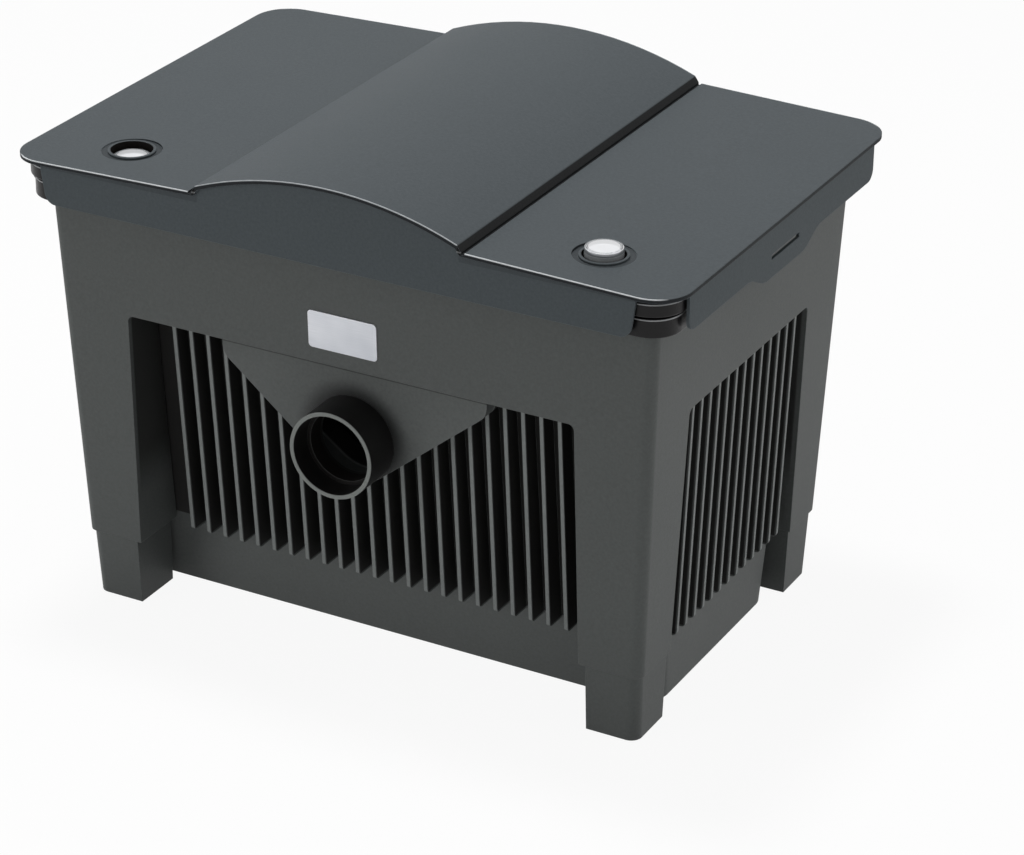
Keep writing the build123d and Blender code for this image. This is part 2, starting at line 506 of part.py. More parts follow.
# ---- drain -----------------------------------------------------------------------------------
def make_drain():
    """Drain fitting, seal, lock nut, screw cap and its seal."""
    x, z = DRAIN_X, DRAIN_Z
    seal_y = DRAIN_SEAT_Y - DRAIN_SEAL_T
    flange_y = seal_y - DRAIN_FLANGE_T
    fitting = (disc_y(DRAIN_FLANGE_R, flange_y, seal_y, x, z)
               + disc_y(DRAIN_THREAD_R, flange_y, DRAIN_END_Y, x, z))
    fitting -= disc_y(DRAIN_BORE_R, flange_y - 1, DRAIN_END_Y + 1, x, z)
    seal = ring_y(DRAIN_FLANGE_R - 1, DRAIN_THREAD_R + THREAD_FIT, seal_y, DRAIN_SEAT_Y, x, z)
    nut_end = DRAIN_PAD_Y + DRAIN_NUT_T
    nut = extrude(Plane.XZ.offset(-nut_end) * RegularPolygon(DRAIN_NUT_R, 6), DRAIN_NUT_T)
    nut = Pos(x, 0, z) * nut - disc_y(DRAIN_THREAD_R + 0.1, DRAIN_PAD_Y - 1, nut_end + 1, x, z)
    cap_start = nut_end + 0.5
    cap_end = cap_start + DRAIN_CAP_T
    seat = DRAIN_END_Y + DRAIN_SEAL_T
    cap = disc_y(DRAIN_CAP_R, cap_start, cap_end, x, z)
    cap = chamfer(cap.edges().group_by(Axis.Y)[-1], 1.2)
    turns = [radians(360 / DRAIN_GRIPS * i) for i in range(DRAIN_GRIPS)]
    grips = [disc_y(DRAIN_GRIP_R, cap_start, cap_end - 2.0, x + DRAIN_CAP_R * cos(turn),
                    z + DRAIN_CAP_R * sin(turn)) for turn in turns]
    cap = cap + grips - disc_y(DRAIN_THREAD_R + TURN_PLAY, cap_start - 1, seat, x, z)
    cap_seal = ring_y(DRAIN_THREAD_R - 0.3, DRAIN_BORE_R - 1, DRAIN_END_Y, seat, x, z)
    return {"drain_fitting": fitting, "drain_seal": seal, "drain_lock_nut": nut, "drain_cap": cap,
            "drain_cap_seal": cap_seal}


# ---- inner parts -----------------------------------------------------------------------------
def make_collector_floor():
    """False floor with a spigot for each perforated tube, on short posts."""
    plate = block(-HALF_X, HALF_X, PARTITION_Y - 1.0, HALF_Y, FLOOR_Z - FLOOR_T, FLOOR_Z)
    plate = plate & lower_tub(WALL + PLAY, TUB_BOTTOM_Z + WALL, SHELF_Z)
    bottom = TUB_BOTTOM_Z + WALL
    across = (CARTRIDGE_X / 2, TUB_FOOT_X - 29.3)
    posts = [disc(FLOOR_POST_R, bottom, FLOOR_Z - 1, sx * x, y) for sx in (-1, 1) for x in across
             for y in (PARTITION_Y + 22.0, TUB_FOOT_Y - 39.3)]
    plate = plate + posts
    for direction in SIDES.values():
        x = direction * CARTRIDGE_X
        plate += disc(TUBE_R - TUBE_T - 0.2, FLOOR_Z - 1, FLOOR_Z + SPIGOT_HEIGHT, x)
        plate -= disc(TUBE_R - 2 * TUBE_T, FLOOR_Z - FLOOR_T - 1, FLOOR_Z + SPIGOT_HEIGHT + 1, x)
    return plate


def make_partition():
    """Upright wall between the foam chamber and the clean-water shaft, with the shaft's cover."""
    fit = tub_form(WALL + PLAY, TUB_BOTTOM_Z + WALL, RIM_TOP_Z)
    shelf_top = SHELF_Z + WALL
    wall = block(-LID_WIDTH, LID_WIDTH, PARTITION_Y, PARTITION_Y + WALL, FLOOR_Z, shelf_top + WALL) & fit
    half = UPPER_X - 12
    cover = block(-half, half, -UPPER_Y + WALL + PLAY, PARTITION_Y + WALL, shelf_top, shelf_top + WALL) & fit
    beside = FOAM_WIDTH / 2 + 4
    places = [sign * x for sign in (-1, 1) for x in (CARTRIDGE_X - beside, CARTRIDGE_X + beside)]
    ribs = [block(x - WALL / 2, x + WALL / 2, PARTITION_Y + 1, PARTITION_Y + 8, FLOOR_Z + 20, shelf_top + 1)
            for x in places]
    return wall + cover + ribs


def make_retainer_tube(x):
    """Perforated tube in the middle of a foam cartridge, closed on top."""
    tube = disc(TUBE_R, FLOOR_Z, TUBE_TOP_Z, x) - disc(TUBE_R - TUBE_T, FLOOR_Z - 1, TUBE_TOP_Z - TUBE_T, x)
    slots = []
    for row in range(SLOT_ROWS):
        low = FLOOR_Z + 22 + row * SLOT_PITCH
        for turn in range(4):
            bar = Box(2 * TUBE_R + 4, SLOT_WIDTH, SLOT_HEIGHT)
            slots.append(Pos(x, 0, low + SLOT_HEIGHT / 2) * Rot(0, 0, 45 * turn) * bar)
    return tube - slots


def make_foam(x, low, high):
    """Foam block with a bore for the tube."""
    body = Pos(x, 0, 0) * rounded_prism(FOAM_WIDTH / 2, FOAM_DEPTH / 2, FOAM_CORNER, low, high)
    return body - disc(TUBE_R + 0.5, low - 1, high + 1, x)


def make_press_plate(x):
    """Grid plate that slides down the tube to squeeze the foam."""
    low = FOAM_TOP_Z + FOAM_GAP
    half_x, half_y = FOAM_WIDTH / 2 - PRESS_INSET, FOAM_DEPTH / 2 - PRESS_INSET
    plate = rounded_prism(half_x, half_y, FOAM_CORNER - PRESS_INSET, low, low + PRESS_T)
    collar_r = TUBE_R + PRESS_PLAY + WALL
    gap_x0, gap_x1 = collar_r + PRESS_BAR, half_x - PRESS_BORDER
    gap_y1 = half_y - PRESS_BORDER
    third, bar = gap_y1 / 3, PRESS_BAR / 2
    gaps = []
    for sx in (-1, 1):
        for y0, y1 in ((-gap_y1, -third - bar), (-third + bar, third - bar), (third + bar, gap_y1)):
            gaps.append(block(sx * gap_x0, sx * gap_x1, y0, y1, low - 1, low + PRESS_T + 1))
    plate = plate - gaps
    collar = disc(collar_r, low, low + PRESS_COLLAR_HEIGHT)
    ends = (-HANDLE_HALF, HANDLE_HALF)
    boss = [disc(HANDLE_R + 3, low, low + 12, 0, y) for y in ends]
    sockets = [disc(HANDLE_R + 0.05, low + HANDLE_SOCKET, low + 13, 0, y) for y in ends]
    bore = disc(TUBE_R + PRESS_PLAY, low - 1, low + PRESS_COLLAR_HEIGHT + 1)
    return Pos(x, 0, 0) * (plate + collar + boss - sockets - bore)


def make_press_handle(x):
    """Bow handle that stands in the press plate."""
    low = FOAM_TOP_Z + FOAM_GAP + HANDLE_SOCKET
    corners = [(x, -HANDLE_HALF, low), (x, -HANDLE_HALF, HANDLE_TOP_Z), (x, HANDLE_HALF, HANDLE_TOP_Z),
               (x, HANDLE_HALF, low)]
    path = FilletPolyline(*corners, radius=HANDLE_BEND)
    return sweep(Plane(origin=path @ 0, z_dir=path % 0) * Circle(HANDLE_R), path=path)


# ---- lid -------------------------------------------------------------------------------------
def lid_outline(drop):
    """Points and arc of the lid's cross-section, moved down by drop."""
    edge_x = HALF_X
    riser_low = LID_EDGE_TOP_Z + WING_SLOPE * (edge_x - RISER_X) - drop
    edge_z = LID_EDGE_TOP_Z - drop
    inward = drop * 0.5
    riser_high = riser_low + RISER_HEIGHT
    low_x, high_x = RISER_X - inward, RISER_TOP_X - inward
    return edge_x, edge_z, riser_low, riser_high, low_x, high_x


def lid_slab(drop, bottom):
    """Everything under the lid's outside, moved down by drop, down to a flat bottom."""
    edge_x, edge_z, riser_low, riser_high, low_x, high_x = lid_outline(drop)
    left = Polyline((-edge_x, bottom), (-edge_x, edge_z), (-low_x, riser_low), (-high_x, riser_high))
    arc = ThreePointArc((-high_x, riser_high), (0, TOTAL_HEIGHT - drop), (high_x, riser_high))
    right = Polyline((high_x, riser_high), (low_x, riser_low), (edge_x, edge_z), (edge_x, bottom))
    base = Line((edge_x, bottom), (-edge_x, bottom))
    return extrude(Plane.XZ * make_face([left, arc, right, base]), LID_DEPTH, both=True)


def lid_sheet():
    """The lid's top: a thin sheet with a rounded outline."""
    outline = rounded_prism(HALF_X, HALF_Y, LID_CORNER, LID_EDGE_TOP_Z - LID_EDGE_T, TOTAL_HEIGHT + 1)
    return (lid_slab(0, LID_EDGE_TOP_Z - LID_EDGE_T) & outline) - lid_slab(LID_T, 0)


def front_skirt():
    """Front skirt, closing the end of the dome; the rear one is the same."""
    right = [(FRONT_SKIRT_LOW_X, SKIRT_BOTTOM_Z), (FRONT_SKIRT_TOP_X, RIM_TOP_Z),
             (FRONT_SKIRT_TOP_X, TOTAL_HEIGHT)]
    points = right + [(-x, z) for x, z in reversed(right)]
    face = rounded_face(points, [SKIRT_CORNER, 0, 0, 0, 0, SKIRT_CORNER])
    return extrude(Plane.XZ.offset(FRONT_SKIRT_Y - SKIRT_T) * face, SKIRT_T)


def side_skirt():
    """Side skirt with its grip tab and latch slot, on the +X side."""
    top = LID_EDGE_TOP_Z - 1
    front = [(-SIDE_SKIRT_Y, top), (-SIDE_SKIRT_Y, SKIRT_BOTTOM_Z), (-TAB_TOP_Y, SKIRT_BOTTOM_Z),
             (-TAB_LOW_Y, TAB_Z)]
    points = front + [(-y, z) for y, z in reversed(front)]
    face = rounded_face(points, [0, SKIRT_CORNER] + [TAB_ROUND] * 4 + [SKIRT_CORNER, 0])
    skirt = extrude(Plane.YZ.offset(SIDE_SKIRT_X - SKIRT_T) * face, SKIRT_T)
    slot = block(SIDE_SKIRT_X - 2 * SKIRT_T, SIDE_SKIRT_X + 1, -TAB_SLOT_Y, TAB_SLOT_Y, TAB_SLOT_LOW,
                 TAB_SLOT_HIGH)
    return skirt - slot


def lid_ribs():
    """Seat rib round the rim and stiffening ribs under the sheet."""
    seat = rounded_prism(SEAT_RIB_X, SEAT_RIB_Y, SEAT_RIB_CORNER, RIM_TOP_Z, TOTAL_HEIGHT)
    seat -= rounded_prism(SEAT_RIB_X - WALL, SEAT_RIB_Y - WALL, SEAT_RIB_CORNER - WALL, RIM_TOP_Z - 1,
                          TOTAL_HEIGHT + 1)
    low, half = RIM_TOP_Z + 1.5, RIB_T / 2
    long_ribs = [block(s * RIB_X - half, s * RIB_X + half, -SEAT_RIB_Y + 1, SEAT_RIB_Y - 1, low, TOTAL_HEIGHT)
                 for s in (-1, 1)]
    cross = [block(s * RIB_X, s * (SEAT_RIB_X - 1), y - half, y + half, low, TOTAL_HEIGHT)
             for s in (-1, 1) for y in (-RIB_Y, 0, RIB_Y)]
    dome = [block(-RIB_X - 1, RIB_X + 1, y - half, y + half, LID_EDGE_TOP_Z + 2, TOTAL_HEIGHT)
            for y in (-RIB_Y, RIB_Y)]
    return [seat] + long_ribs + cross + dome


def wing_z(x):
    """Height of the wing's top at distance x from the middle."""
    return LID_EDGE_TOP_Z + WING_SLOPE * (HALF_X - abs(x))


def make_lid():
    """Lid: sheet, skirts, ribs and the two gauge openings with their lip and dished surround."""
    under = lid_slab(LID_T * 0.5, TAB_Z - 1)
    body = lid_sheet()
    front, side = front_skirt(), side_skirt()
    skirts = [front, front.rotate(Axis.Z, 180), side, side.rotate(Axis.Z, 180)]
    trimmed = [piece & under for piece in skirts + lid_ribs()]
    body = body + trimmed
    groove_z = wing_z(RISER_X) - GROOVE_DEPTH
    for direction in (-1, 1):
        body -= block(direction * (RISER_X - 0.2), direction * (RISER_X + GROOVE_WIDTH), -HALF_Y - 1,
                      HALF_Y + 1, groove_z, groove_z + GROOVE_DEPTH + 1)
        x = direction * GAUGE_X
        top = wing_z(GAUGE_X)
        boss = disc(GAUGE_DISH_R + 1.5, WELL_TOP_Z, top - LID_T / 2, x, GAUGE_Y)
        dish = disc(GAUGE_DISH_R, top - GAUGE_DISH_DEPTH, top + 2, x, GAUGE_Y)
        lip = disc(GAUGE_LIP_R, top - GAUGE_DISH_DEPTH - 1, top + GAUGE_LIP_H, x, GAUGE_Y)
        lip = fillet(lip.edges().group_by(Axis.Z)[-1], GAUGE_LIP_ROUND)
        body = body + boss - dish + lip - disc(GAUGE_HOLE_R, WELL_TOP_Z - 1, top + 5, x, GAUGE_Y)
    return body


# ---- gauges ----------------------------------------------------------------------------------
def make_well(x, bore_r):
    """Well under the lid's opening, with a guide tube for the stem."""
    y = GAUGE_Y
    body = disc(WELL_OUT_R, WELL_FLOOR_Z - WELL_FLOOR_T, WELL_TOP_Z, x, y)
    body += disc(WELL_FLANGE_R, WELL_TOP_Z - WELL_FLANGE_T, WELL_TOP_Z, x, y)
    body -= disc(GAUGE_HOLE_R, WELL_FLOOR_Z, WELL_TOP_Z + 1, x, y)
    body += disc(GUIDE_R, GUIDE_END_Z, WELL_FLOOR_Z - 1, x, y)
    return body - disc(bore_r + STEM_FIT, GUIDE_END_Z - 1, WELL_FLOOR_Z + 1, x, y)


def make_gauge(x, top, rod_r, rod_end):
    """Gauge head, lens, dial and rod; the dial lies in a pocket under the lens."""
    y = GAUGE_Y
    lens_z = top - LENS_T
    head = disc(HEAD_R, WELL_FLOOR_Z, lens_z, x, y)
    head -= disc(DIAL_R + 0.2, lens_z - DIAL_T, lens_z + 1, x, y)
    head -= disc(rod_r + 0.05, WELL_FLOOR_Z - 1, WELL_FLOOR_Z + STEM_SINK, x, y)
    lens = disc(HEAD_R, lens_z, top, x, y)
    lens = fillet(lens.edges().group_by(Axis.Z)[-1], LENS_ROUND)
    dial = disc(DIAL_R, lens_z - DIAL_T, lens_z, x, y)
    rod = disc(rod_r, rod_end, WELL_FLOOR_Z + STEM_SINK, x, y)
    return head, lens, dial, rod


def make_float(x):
    """Slim float on the lower end of the indicator's stem."""
    y = GAUGE_Y
    body = disc(FLOAT_R, FLOAT_BOTTOM_Z, FLOAT_TOP_Z, x, y)
    body = fillet(body.edges().group_by(Axis.Z)[-1], FLOAT_ROUND)
    body = fillet(body.edges().group_by(Axis.Z)[0], FLOAT_ROUND)
    return body - disc(STEM_R + 0.05, STEM_END_Z, FLOAT_TOP_Z + 1, x, y)


def build():
    """Every piece by its node name."""
    parts = {"tub": make_tub(), "outer_frame": make_frame(), "badge_plate": badge_solid(0, BADGE_T),
             "outlet_pipe": make_outlet_pipe(), "outlet_seal": make_outlet_seal(),
             "collector_floor": make_collector_floor(), "clean_water_partition": make_partition(),
             "lid": make_lid()}
    parts.update(make_inlet())
    parts.update(make_drain())
    for side, direction in SIDES.items():
        x = direction * CARTRIDGE_X
        parts[f"retainer_tube_{side}"] = make_retainer_tube(x)
        parts[f"foam_coarse_{side}"] = make_foam(x, FLOOR_Z + FOAM_GAP, COARSE_TOP_Z)
        parts[f"foam_fine_{side}"] = make_foam(x, COARSE_TOP_Z + FOAM_GAP, FOAM_TOP_Z)
        parts[f"press_plate_{side}"] = make_press_plate(x)
        parts[f"press_handle_{side}"] = make_press_handle(x)
    parts["gauge_well_left"] = make_well(-GAUGE_X, STEM_R)
    parts["gauge_well_right"] = make_well(GAUGE_X, PROBE_R)
    names = ("indicator_head", "indicator_lens", "indicator_dial", "indicator_stem")
    parts.update(zip(names, make_gauge(-GAUGE_X, INDICATOR_TOP_Z, STEM_R, STEM_END_Z)))
    parts["indicator_float"] = make_float(-GAUGE_X)
    names = ("thermometer_head", "thermometer_lens", "thermometer_dial", "thermometer_probe")
    parts.update(zip(names, make_gauge(GAUGE_X, THERMOMETER_TOP_Z, PROBE_R, PROBE_END_Z)))
    return parts


os.makedirs("parts", exist_ok=True)
for name, shape in build().items():
    export_step(shape, f"parts/{name}.step")
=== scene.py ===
"""Looks of the box-type pond filter: materials, foam blocks, lights, floor and camera.

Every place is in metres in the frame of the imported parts. New pieces are grids of points worked out
with numpy; the rigid parts keep their own meshes and get a material each.
"""
import json
import math

import bpy
import numpy as np
from mathutils import Matrix, Vector


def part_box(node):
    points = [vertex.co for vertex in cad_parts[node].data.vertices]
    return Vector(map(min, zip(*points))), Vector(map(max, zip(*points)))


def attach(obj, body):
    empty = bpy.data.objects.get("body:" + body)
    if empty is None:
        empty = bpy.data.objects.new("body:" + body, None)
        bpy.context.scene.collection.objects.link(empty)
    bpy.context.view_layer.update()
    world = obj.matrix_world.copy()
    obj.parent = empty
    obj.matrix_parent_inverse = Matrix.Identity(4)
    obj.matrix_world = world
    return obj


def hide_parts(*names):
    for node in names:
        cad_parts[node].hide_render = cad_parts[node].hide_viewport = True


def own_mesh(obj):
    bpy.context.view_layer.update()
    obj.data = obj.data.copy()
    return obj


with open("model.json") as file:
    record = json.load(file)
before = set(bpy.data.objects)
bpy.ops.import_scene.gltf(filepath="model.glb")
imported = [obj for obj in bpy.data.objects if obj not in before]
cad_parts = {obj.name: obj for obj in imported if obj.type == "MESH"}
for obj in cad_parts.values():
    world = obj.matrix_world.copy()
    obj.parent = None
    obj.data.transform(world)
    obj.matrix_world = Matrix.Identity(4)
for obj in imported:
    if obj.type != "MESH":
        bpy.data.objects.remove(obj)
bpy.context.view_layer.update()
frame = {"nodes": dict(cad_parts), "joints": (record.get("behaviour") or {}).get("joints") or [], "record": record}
nodes = frame["nodes"]


# ---- shader expressions ----------------------------------------------------------------------
class Value:
    """One number, colour or vector of a material; sums, differences and products add their nodes."""

    def __init__(self, graph, socket):
        self.graph = graph
        self.socket = socket

    def __add__(self, other):
        return self.graph.math("ADD", self, other)

    def __sub__(self, other):
        return self.graph.math("SUBTRACT", self, other)

    def __rsub__(self, other):
        return self.graph.math("SUBTRACT", other, self)

    def __mul__(self, other):
        return self.graph.math("MULTIPLY", self, other)

    __radd__ = __add__
    __rmul__ = __mul__

    def absolute(self):
        return self.graph.math("ABSOLUTE", self)

    def cosine(self):
        return self.graph.math("COSINE", self)

    def root(self):
        return self.graph.math("SQRT", self)

    def positive(self):
        return self.graph.math("MAXIMUM", self, 0.0)

    def step(self, low, high):
        """0 below low, 1 above high, smooth between."""
        return self.graph.node("ShaderNodeMapRange", {"interpolation_type": "SMOOTHSTEP"},
                               {"Value": self, "From Min": low, "From Max": high})

    def band(self, low, high, soft):
        """1 between low and high, 0 outside, smooth over soft at both ends."""
        return self.step(low - soft, low) * (1.0 - self.step(high, high + soft))


class Graph:
    """The node tree of one material, with its Principled shader."""

    def __init__(self, name):
        self.material = bpy.data.materials.new(name)
        self.material.use_nodes = True
        self.tree = self.material.node_tree
        self.shader = self.tree.nodes["Principled BSDF"]
        self.place = self.node("ShaderNodeTexCoord", {}, {}, "Object")

    def node(self, kind, settings, inputs, output=0):
        """A node of that kind: its settings first, then the values or links of its sockets."""
        made = self.tree.nodes.new(kind)
        for key, value in settings.items():
            setattr(made, key, value)
        for key, value in inputs.items():
            self.feed(made.inputs[key], value)
        return Value(self, made.outputs[output])

    def feed(self, socket, value):
        if isinstance(value, Value):
            self.tree.links.new(value.socket, socket)
        else:
            socket.default_value = value

    def math(self, operation, *values):
        return self.node("ShaderNodeMath", {"operation": operation}, dict(enumerate(values)))

    def axis(self, name):
        return self.node("ShaderNodeSeparateXYZ", {}, {"Vector": self.place}, name)

    def noise(self, scale, detail=2.0, rough=0.5, stretch=None):
        """Noise from 0 to 1; scale is in features per metre."""
        place = self.place
        if stretch:
            place = self.node("ShaderNodeMapping", {}, {"Vector": self.place, "Scale": stretch})
        return self.node("ShaderNodeTexNoise", {}, {"Vector": place, "Scale": scale, "Detail": detail,
                                                    "Roughness": rough})

    def cells(self, scale):
        """Distance to the nearest cell centre, in cells."""
        return self.node("ShaderNodeTexVoronoi", {}, {"Vector": self.place, "Scale": scale})

    def blend(self, share, low, high):
        """Colour low where share is 0, high where it is 1."""
        return self.node("ShaderNodeMix", {"data_type": "RGBA"}, {0: share, 6: low, 7: high}, 2)

    def tinted(self, colour, factor):
        """Colour multiplied by a number."""
        return self.node("ShaderNodeMix", {"data_type": "RGBA", "blend_type": "MULTIPLY"},
                         {0: 1.0, 6: colour, 7: factor}, 2)

    def bump(self, height, distance, strength=1.0, normal=None):
        inputs = {"Height": height, "Distance": distance, "Strength": strength}
        if normal is not None:
            inputs["Normal"] = normal
        return self.node("ShaderNodeBump", {}, inputs)

    def rounded(self, radius):
        """Normal of the surface as if its edges were rounded."""
        return self.node("ShaderNodeBevel", {"samples": 6}, {"Radius": radius})

    def edge(self, rounded):
        """0 on flat faces, up to 1 along rounded edges."""
        flat = self.node("ShaderNodeNewGeometry", {}, {}, "Normal")
        along = self.node("ShaderNodeVectorMath", {"operation": "DOT_PRODUCT"}, {0: rounded, 1: flat},
                          "Value")
        return (1.0 - along).step(0.0, 0.25)

    def put(self, **sockets):
        """Feeds the shader; underscores in a name stand for spaces."""
        for key, value in sockets.items():
            self.feed(self.shader.inputs[key.replace("_", " ")], value)
        return self.material


def rgb(red, green, blue):
    """Linear colour from 0-255 display values."""
    shares = [c / 255 for c in (red, green, blue)]
    return tuple(s / 12.92 if s <= 0.04045 else ((s + 0.055) / 1.055) ** 2.4 for s in shares) + (1.0,)


def scaled(colour, factor):
    return tuple(c * factor for c in colour[:3]) + (1.0,)


# ---- materials -------------------------------------------------------------------------------
def moulded_plastic(name, colour, gloss=0.45, grain=0.00012, edge_light=0.35, edge_radius=0.0009, streak=0.05,
                    shine=0.25, zones=None):
    """Moulded plastic: fine spark-eroded grain, faint clouds and flow streaks, and edges made paler as a painted
    highlight; shine is its share of mirror reflection, 0.5 for a smooth surface. zones gives (mask, colour,
    roughness) for places with another finish and for painted highlights and shade, which keep the grain."""
    g = Graph(name)
    rounded = g.rounded(edge_radius)
    clouds = g.noise(9.0, 3.0)
    streaks = g.noise(14.0, 4.0, 0.6, (1.0, 1.0, 0.12))
    shade = (clouds - 0.5) * streak + (streaks - 0.5) * streak
    fine = g.noise(1400.0, 2.0, 0.6)
    speckle = g.noise(430.0, 3.0, 0.6)
    tone = shade + (fine - 0.5) * 0.45 + (speckle - 0.5) * 0.85 + 0.5
    paint, rough = colour, 1.0 - gloss
    for mask, tint, roughness in (zones(g) if zones else ()):
        paint = g.blend(mask, paint, tint)
        rough = mask * (roughness - rough) + rough
    rough = (clouds - 0.5) * 0.10 + (fine - 0.5) * 0.08 + rough
    base = g.tinted(paint, tone * 0.44 + 0.78)
    # painted highlight: the rounded edges are made paler in the colour
    edge_highlight = g.edge(rounded) * ((speckle - 0.5) * 0.6 + edge_light)
    base = g.blend(edge_highlight, base, scaled(colour, 2.6))
    grainy = g.bump(fine + speckle * 0.7, grain, 1.0, rounded)
    return g.put(Base_Color=base, Roughness=rough, Normal=grainy, IOR=1.46, Specular_IOR_Level=shine)


def glossy_black(name):
    """Polished black pipe: drawn lines along it, a few scuffs, and painted highlights on its edges and front end.
    """
    g = Graph(name)
    rounded = g.rounded(0.0006)
    lines = g.noise(600.0, 2.0, 0.5, (1.0, 0.03, 1.0))
    scuffs = g.noise(60.0, 5.0, 0.7).step(0.62, 0.75)
    base = g.blend(scuffs * 0.4, rgb(18, 17, 17), rgb(50, 50, 52))
    # painted highlight along the pipe's rounded edges
    base = g.blend(g.edge(rounded) * 0.7, base, rgb(120, 124, 124))
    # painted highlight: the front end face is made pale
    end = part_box("outlet_pipe")[0].y
    base = g.blend(1.0 - g.axis("Y").step(end + 0.0002, end + 0.0006), base, rgb(118, 122, 119))
    return g.put(Base_Color=base, Roughness=0.34 + lines * 0.10 + scuffs * 0.15,
                 Normal=g.bump(lines, 0.00006, 1.0, rounded), IOR=1.5, Specular_IOR_Level=0.35)


def rubber(name):
    """Moulded rubber with a dusty bloom."""
    g = Graph(name)
    bloom = g.noise(90.0, 4.0)
    return g.put(Base_Color=g.blend(bloom, rgb(24, 24, 25), rgb(44, 44, 45)), Roughness=0.62 + bloom * 0.2,
                 Normal=g.bump(g.noise(1600.0), 0.00008, 1.0, g.rounded(0.0004)))


def brushed_plate(name):
    """Thin bare metal plate, brushed along its width, with a wandering painted sheen and painted edge highlights.
    """
    g = Graph(name)
    brush = g.noise(2600.0, 2.0, 0.6, (0.02, 1.0, 1.0))
    # painted sheen: the colour wanders between a duller and a brighter silver
    painted_sheen = g.noise(28.0, 2.0)
    base = g.blend(painted_sheen, rgb(192, 196, 204), rgb(244, 245, 249))
    base = g.blend(brush * 0.3, base, rgb(140, 148, 156))
    rounded = g.rounded(0.0006)
    # painted highlight along the edges
    base = g.blend(g.edge(rounded) * 0.8, base, rgb(250, 250, 252))
    return g.put(Base_Color=base, Metallic=0.5, Roughness=0.30 + brush * 0.15,
                 Normal=g.bump(brush, 0.00004, 1.0, rounded))


def radius_about(g, centre):
    """Distance from an upright axis through centre."""
    x = g.axis("X") - centre[0]
    y = g.axis("Y") - centre[1]
    return (x * x + y * y).root()


LENS_DISC_R, LENS_WALL_R = 0.0114, 0.01395       # clear middle over the dial; the lens's upright side
LENS_HIGHLIGHT_RINGS = (0.0122, 0.0124), (0.0134, 0.0137)  # two rings of painted highlight on the rim
TICKS, TICK_IN, TICK_OUT = 24, 0.0076, 0.0096    # faint marks round the dial
RING_SOFT = 0.0002


def clear_lens(name, centre):
    """Clear polycarbonate cap: a pearly disc shows under its middle, its rim has two painted highlight rings and
    its side is greyer. Each zone is a range of distance from the cap's axis."""
    g = Graph(name)
    haze = g.noise(260.0, 2.0)
    radius = radius_about(g, centre)
    disc = 1.0 - radius.step(LENS_DISC_R, LENS_DISC_R + 0.0003)
    wall = radius.step(LENS_WALL_R, LENS_WALL_R + 0.0001)
    # painted highlights: the two bright rings on the rim
    shine = g.math("MAXIMUM", *(radius.band(low, high, RING_SOFT) for low, high in LENS_HIGHLIGHT_RINGS))
    base = g.blend(haze, rgb(112, 116, 120), rgb(140, 144, 148))
    base = g.blend(shine, base, rgb(238, 240, 242))
    base = g.blend(disc, base, rgb(240, 241, 243))
    base = g.blend(wall, base, rgb(134, 138, 141))
    return g.put(Base_Color=base, Roughness=0.10 + haze * 0.10,
                 Alpha=disc * 0.30 + g.math("MAXIMUM", shine, wall) * 0.45 + 0.35,
                 Coat_Weight=0.6, Normal=g.rounded(0.0008))


def printed_dial(name, centre):
    """White pearly dial that glows a little by a painted emission, with faint ticks round its edge, where the
    cosine of the angle about centre times their number comes near 1."""
    g = Graph(name)
    turn = g.math("ARCTAN2", g.axis("Y") - centre[1], g.axis("X") - centre[0])
    ticks = (turn * float(TICKS)).cosine().step(0.90, 0.97)
    ticks = ticks * radius_about(g, centre).band(TICK_IN, TICK_OUT, RING_SOFT)
    sheen = g.noise(900.0, 3.0, 0.7)
    base = g.blend(sheen, rgb(214, 216, 219), rgb(254, 254, 255))
    base = g.blend(ticks * 0.18, base, rgb(150, 154, 158))
    # painted light: the dial emits its own colour, though it is no lamp
    g.put(Emission_Color=base, Emission_Strength=0.28)
    return g.put(Base_Color=base, Roughness=0.35, Normal=g.bump(sheen, 0.00006))


def open_foam(name, dark, light):
    """Reticulated foam: pits of two sizes, darker within as painted shade, paler strands between them."""
    g = Graph(name)
    pits = g.cells(420.0)
    holes = g.cells(190.0)
    depth = pits * 0.6 + holes * 0.4
    wear = g.noise(20.0, 3.0)
    # painted shade: the colour darkens towards the depth of the pits
    base = g.blend(depth.step(0.15, 0.7), dark, light)
    base = g.blend((wear - 0.4) * 0.5, base, scaled(light, 0.7))
    return g.put(Base_Color=base, Roughness=0.95, Normal=g.bump(depth, 0.0012))


CASING = rgb(81, 84, 83)
LID = rgb(73, 78, 81)
# painted shade: the lid's skirts get a tone of their own for the light on them
SKIRT_SHADE = rgb(80, 86, 89)
LID_LINE, DOME_LINE = rgb(235, 238, 240), rgb(195, 199, 202)      # light caught by the plate's front edge
# painted shade for the plate's edge face and round the gauge openings
LID_EDGE_SHADE = rgb(40, 42, 44)
TUB = rgb(90, 93, 92)
# painted highlight for the fins' edges
FIN_EDGE_HIGHLIGHT = rgb(122, 126, 125)
BLACK = rgb(34, 34, 35)
RIM_BLACK = rgb(16, 15, 16)
RIM_SHINE = rgb(170, 172, 174)
SHADE_BLACK = rgb(20, 18, 17)
FRAME_X, FRAME_X_RISE = 0.24125, 0.0381          # the frame's outer faces: x or y = this + rise x height
FRAME_Y, FRAME_Y_RISE = 0.15563, 0.0402
FRAME_CORNER, FRAME_WALL = 0.0090, 0.0032
FRAME_RIM_Z, FRAME_RIM_TOP = 0.3437, 0.3590      # undersides and tops of the two polished rims
TUB_RIM_Z, TUB_RIM_TOP = 0.3607, 0.3720
SHINE_DROP = 0.0014                              # the rims' highlight lies this far under their tops
HAIR = 0.0001                                    # a sharp change of finish
FIN_LOW_Z, SHELF_Z = 0.060, 0.262                # the fins' lower ends and the shelf above them
FRONT_FIN_Y, FRONT_FIN_RISE = 0.1198, 0.087      # the front fins' edges: y = this + rise x height
